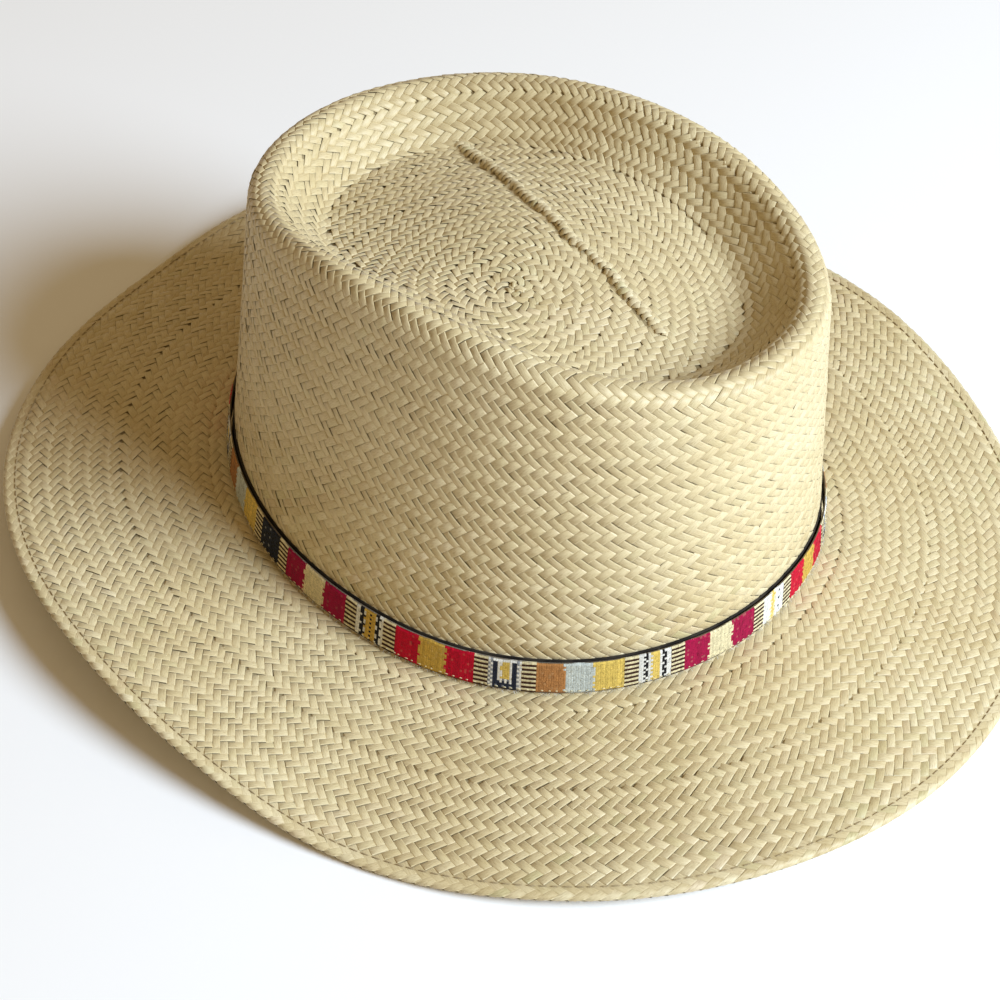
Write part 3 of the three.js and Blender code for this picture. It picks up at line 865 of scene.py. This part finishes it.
BAND_LOW = BREAK_SIZE * 0.4
BAND_TOP = BAND_LOW + BAND_HEIGHT
BACKING_LOW = BREAK_SIZE * 0.65
BAND_CLEARANCE = 2 * GAP + BACKING_THICKNESS * 1.15
YARN_DEPTH, BACK_DEPTH = BAND_THICKNESS * 0.6, BAND_THICKNESS * 0.4

# %% [markdown]
# ## Cells of yarn
# Each letter of the chart becomes a little pillow of nine points, raised along the yarn that shows there:
# upright in the blocks and figures, lengthwise in the stripes. The ribbon's edges drop back, and no two
# yarns have quite the same colour.

# %% Weave the ribbon
PATTERN_TURN = 160.8  # where on the wall the pattern's first block starts, in degrees


def weave_band(patches):
    face, normal = strip_skin(BAND_CLEARANCE + YARN_DEPTH, BAND_LOW, BAND_TOP, 2)
    middle = face.mean(0)
    track = np.concatenate([[0], np.cumsum(np.linalg.norm(np.roll(middle, -1, 0) - middle, axis=1))])
    columns = int(round(track[-1] / CELL))
    start = int(round(np.interp(PATTERN_TURN, np.append(turns, 360), track) / CELL))
    letters, lengthwise = chart(columns, -start)
    row, column = (part.ravel() for part in np.meshgrid(np.arange(ROWS), np.arange(columns), indexing="ij"))
    x, y = (part.ravel() for part in np.meshgrid((-1, 0, 1), (-1, 0, 1), indexing="ij"))
    turn = np.interp((column[:, None] + 0.5 + x / 2) / columns * track[-1], track, np.append(turns, 360))
    share = 1 - (row[:, None] + 0.5 + y / 2) / ROWS
    side = turn / 360 * TURNS
    s = np.floor(side).astype(int) % TURNS
    f = (side - np.floor(side))[..., None]

    def between(grid):
        return grid[s] * (1 - f) + grid[(s + 1) % TURNS] * f

    waver = 0.12 * MM * np.sin(np.radians(turn) * 37) + 0.08 * MM * np.sin(np.radians(turn) * 91 + 1)
    bottom, top, out = between(face[0]), between(face[1]), unit(between(normal))
    place = bottom + (top - bottom) * share[..., None] + UP * (waver * (2 * share - 1))[..., None]
    along = lengthwise[row, column][:, None]
    yarn = np.where(along, 0.14 * (1 - y**2), 0.07 * (1 - x**2) * (1 - 0.5 * y**2)) * MM
    selvedge = -0.45 * MM * np.clip((np.abs(2 * share - 1) - 0.9) / 0.1, 0, 1)
    loose = rng.normal(0, 0.03, (len(row), 1)) * MM
    place = place + out * (yarn + selvedge + loose)[..., None]
    tone = np.array([DYES[letter] for letter in letters[row, column]])
    tone = tone * rng.uniform(0.88, 1.08, (columns, 1))[column] * rng.uniform(0.88, 1.08, (len(row), 1))
    fluffy = 0.10 * (rng.random((len(row), 1)) < 0.06) * (tone.max(-1, keepdims=True) > 0.1)
    tone = tone * (1 - fluffy) + fluffy * np.array(DYES["E"])
    patches.add(place, grid_quads(3, 3), np.stack([x, y], -1), tone)
    return columns, face, normal


# %% [markdown]
# ## The ribbon's back, fibres and sewing
# A plain strip closes the ribbon behind its face. Fine fibres have worked loose along both long edges, as
# on any cotton ribbon, and a line of short pale stitches runs just above the lower one.

# %% Close, fray and sew the ribbon
BACK_COLOUR = (0.20, 0.16, 0.11)
# the place of the sewing is a share of the band's height
SEWING_PLACE, SEWING_STEP, SEWING_RADIUS, SEWING_LIFT = 0.09, 2.3 * MM, 0.15 * MM, 0.12 * MM


def close_strip(patches, clearance, thickness, low, high, colour):
    """The back and the two long edges of a strip, so that it is closed behind its face."""
    outer, _ = strip_skin(clearance + thickness, low, high, 2)
    inner, _ = strip_skin(clearance, low, high, 2)
    loops = np.array([outer[0], inner[0], inner[1], outer[1]])[:, ::2]
    quads = grid_quads(4, loops.shape[1], closed=True)[:, ::-1]
    patches.add(loops.reshape(1, -1, 3), quads, np.zeros((4 * loops.shape[1], 2)), np.array([colour]))


def fuzz(patches, line, normal, count, shortest, longest, tone, way_up):
    """Loose fibres that stick out of a long edge of a strip."""
    side = rng.integers(0, TURNS, count)
    base = line[side] + normal[side] * rng.uniform(-0.5, 0.1, (count, 1)) * MM
    along = unit(np.roll(line, -1, 0) - line)[side]
    way = normal[side] * rng.uniform(0.1, 1.0, (count, 1)) + along * rng.normal(0, 0.8, (count, 1))
    way = way + UP * rng.uniform(0.1, 0.9, (count, 1)) * way_up
    tubes(patches, base, base + unit(way) * rng.uniform(shortest, longest, (count, 1)), 0.045 * MM,
          np.broadcast_to(tone, (count, 3)), sides=3, bow=0.15 * MM)


def sew_band(patches, face, normal):
    """A line of short pale stitches just above the band's lower edge."""
    line = face[0] + (face[1] - face[0]) * SEWING_PLACE + normal * SEWING_LIFT
    track = np.concatenate([[0], np.cumsum(np.linalg.norm(np.roll(line, -1, 0) - line, axis=1))])
    closed = np.concatenate([line, line[:1]])
    start = np.arange(0, track[-1] - SEWING_STEP, SEWING_STEP)
    start = start + rng.normal(0, 0.15 * MM, len(start))
    ends = [np.stack([np.interp(at, track, closed[:, axis]) for axis in range(3)], -1)
            for at in (start, start + rng.uniform(0.6, 1.3, len(start)) * MM)]
    tone = np.tile(DYES["E"], (len(start), 1))
    tubes(patches, ends[0], ends[1], SEWING_RADIUS, tone, bow=SEWING_LIFT)


# %% [markdown]
# ## Cotton yarn
# Dyed cotton is dull, and its colour is uneven along each fibre. The dye of every cell is stored on the
# mesh, so one finish serves the whole ribbon: it only adds the grain of the fibres.

# %% The yarn's finish
def yarn_look():
    made, tree, shader = material("woven_yarn")
    tone = node(tree, "ShaderNodeAttribute", attribute_name="tone").outputs["Vector"]
    place = node(tree, "ShaderNodeTexCoord").outputs["Object"]
    fibre = noise(tree, place, 2600.0, 2.0)
    tint = ramp(tree, fibre, (0.3, (0.62, 0.62, 0.62)), (0.7, (1.0, 1.0, 1.0)))
    plug(tree, shader.inputs["Base Color"], mixed(tree, 0.75, tone, tint, "MULTIPLY"))
    shader.inputs["Roughness"].default_value = 0.85
    shader.inputs["Sheen Weight"].default_value = 0.06
    shader.inputs["Specular IOR Level"].default_value = 0.15
    plug(tree, shader.inputs["Normal"],
         node(tree, "ShaderNodeBump", {"Strength": 0.8, "Distance": 0.15 * MM, "Height": fibre}).outputs[0])
    return made


# %% The band
band = Patches()
columns, face, normal = weave_band(band)
close_strip(band, BAND_CLEARANCE, BACK_DEPTH, BAND_LOW, BAND_TOP, BACK_COLOUR)
fuzz(band, face[0], normal, 700, 0.5 * MM, 1.6 * MM, (0.8, 0.77, 0.70), -1)
fuzz(band, face[1], normal, 160, 0.4 * MM, 1.0 * MM, (0.5, 0.45, 0.36), 1)
sew_band(band, face, normal)
band_piece = band.build("hatband_weave", yarn_look())
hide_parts("hatband")
print("the band has", columns, "columns of yarn")


# %% [markdown]
# ## The black backing
# A strip of black cloth lies behind the ribbon and shows as a thin dark line above it. It is a rounded
# strip with a fine over-and-under weave in its bump, a little dust in its colour and loose fibres on top.

# %% The backing's cloth
def cloth_look():
    made, tree, shader = material("black_cloth")
    place = node(tree, "ShaderNodeTexCoord").outputs["Object"]
    dust = noise(tree, place, 160.0)
    threads = node(tree, "ShaderNodeTexWave", {"Vector": place, "Scale": 900.0, "Distortion": 1.5},
                   bands_direction="Z").outputs["Fac"]
    colour = ramp(tree, dust, (0.35, (0.012, 0.009, 0.007)), (0.7, (0.055, 0.043, 0.03)))
    plug(tree, shader.inputs["Base Color"], colour)
    shader.inputs["Roughness"].default_value = 0.92
    shader.inputs["Specular IOR Level"].default_value = 0.15
    shader.inputs["Sheen Weight"].default_value = 0.05
    plug(tree, shader.inputs["Normal"],
         node(tree, "ShaderNodeBump", {"Strength": 0.6, "Distance": 0.15 * MM, "Height": threads}).outputs[0])
    return made


def backing_strip(patches):
    low, high = BACKING_LOW, BAND_TOP + BACKING_SHOWS * 0.2
    soft = BACKING_THICKNESS * 0.5
    # height up the wall, and thickness there as a share of the whole
    section = [(low, 0.0), (low, 0.3), (low + soft, 0.5), (high - soft, 0.5), (high, 0.3), (high, 0.0),
               (low, 0.0)]
    loops = np.array([strip_skin(GAP + BACKING_THICKNESS * out, at, at, 1)[0][0] for at, out in section])
    quads = grid_quads(len(section), TURNS, closed=True)
    patches.add(loops.reshape(1, -1, 3), quads, np.zeros((loops.size // 3, 2)), np.zeros((1, 3)))
    fuzz(patches, loops[4], strip_skin(0, low, high, 1)[1], 200, 0.3 * MM, 0.8 * MM, (0, 0, 0), 1)


backing = Patches()
backing_strip(backing)
backing_piece = backing.build("hatband_backing_cloth", cloth_look())
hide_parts("hatband_backing")

# %% [markdown]
# ## Table, light and camera
# A plain pale table, one big soft light on the right of the picture, as from a window, and a little warm
# light from all round. The camera looks down at the hat from its front right, at the height and the
# distance that make the outlines of rim, band and brim fall where they fall in the photograph.

# %% Table
TABLE = 3.0
table_mesh = bpy.data.meshes.new("table")
corners = [(-TABLE, -TABLE, 0), (TABLE, -TABLE, 0), (TABLE, TABLE, 0), (-TABLE, TABLE, 0)]
table_mesh.from_pydata(corners, [], [(0, 1, 2, 3)])
table = bpy.data.objects.new("table", table_mesh)
bpy.context.scene.collection.objects.link(table)
table_look, tree, shader = material("pale_table")
shader.inputs["Base Color"].default_value = (0.94, 0.92, 0.90, 1)
shader.inputs["Roughness"].default_value = 0.7
table_mesh.materials.append(table_look)


# %% Light
def soft_light(name, place, target, size, power, colour):
    data = bpy.data.lights.new(name, "AREA")
    data.shape = "DISK"
    data.size = size
    data.energy = power
    data.color = colour
    lamp = bpy.data.objects.new(name, data)
    bpy.context.scene.collection.objects.link(lamp)
    lamp.location = place
    lamp.rotation_euler = (Vector(target) - Vector(place)).to_track_quat("-Z", "Y").to_euler()


WARM_ROOM, ROOM_STRENGTH = (1.0, 0.74, 0.40, 1), 0.34
DAYLIGHT, WINDOW_SIZE, WINDOW_POWER = (0.69, 0.83, 1.0), 1.1, 90
WINDOW_PLACE, WINDOW_AIM = (0.33, -1.77, 1.31), (0, 0, 0.05)

world = bpy.data.worlds.new("room")
world.use_nodes = True
world.node_tree.nodes["Background"].inputs[0].default_value = WARM_ROOM
world.node_tree.nodes["Background"].inputs[1].default_value = ROOM_STRENGTH
bpy.context.scene.world = world
soft_light("window", WINDOW_PLACE, WINDOW_AIM, WINDOW_SIZE, WINDOW_POWER, DAYLIGHT)

# %% Camera
CAMERA_PLACE = np.array([-406.5, -258.55, 460.1]) * MM
CAMERA_AIM = np.array([-54.54, -26.86, 51.55]) * MM
CAMERA_ROLL = math.radians(4.864)
FOCAL_LENGTH, SENSOR = 70.77, 36

camera_data = bpy.data.cameras.new("camera")
camera_data.sensor_width = SENSOR
camera_data.lens = FOCAL_LENGTH
camera_data.clip_start = 10 * MM
camera = bpy.data.objects.new("camera", camera_data)
bpy.context.scene.collection.objects.link(camera)
ahead = unit(CAMERA_AIM - CAMERA_PLACE)
level = unit(np.cross(ahead, UP))
right = level * math.cos(CAMERA_ROLL) + np.cross(level, ahead) * math.sin(CAMERA_ROLL)
pose = np.eye(4)
pose[:3, 0], pose[:3, 1], pose[:3, 2], pose[:3, 3] = right, np.cross(right, ahead), -ahead, CAMERA_PLACE
camera.matrix_world = Matrix(pose.tolist())
bpy.context.scene.camera = camera
bpy.context.scene.view_settings.view_transform = "Standard"
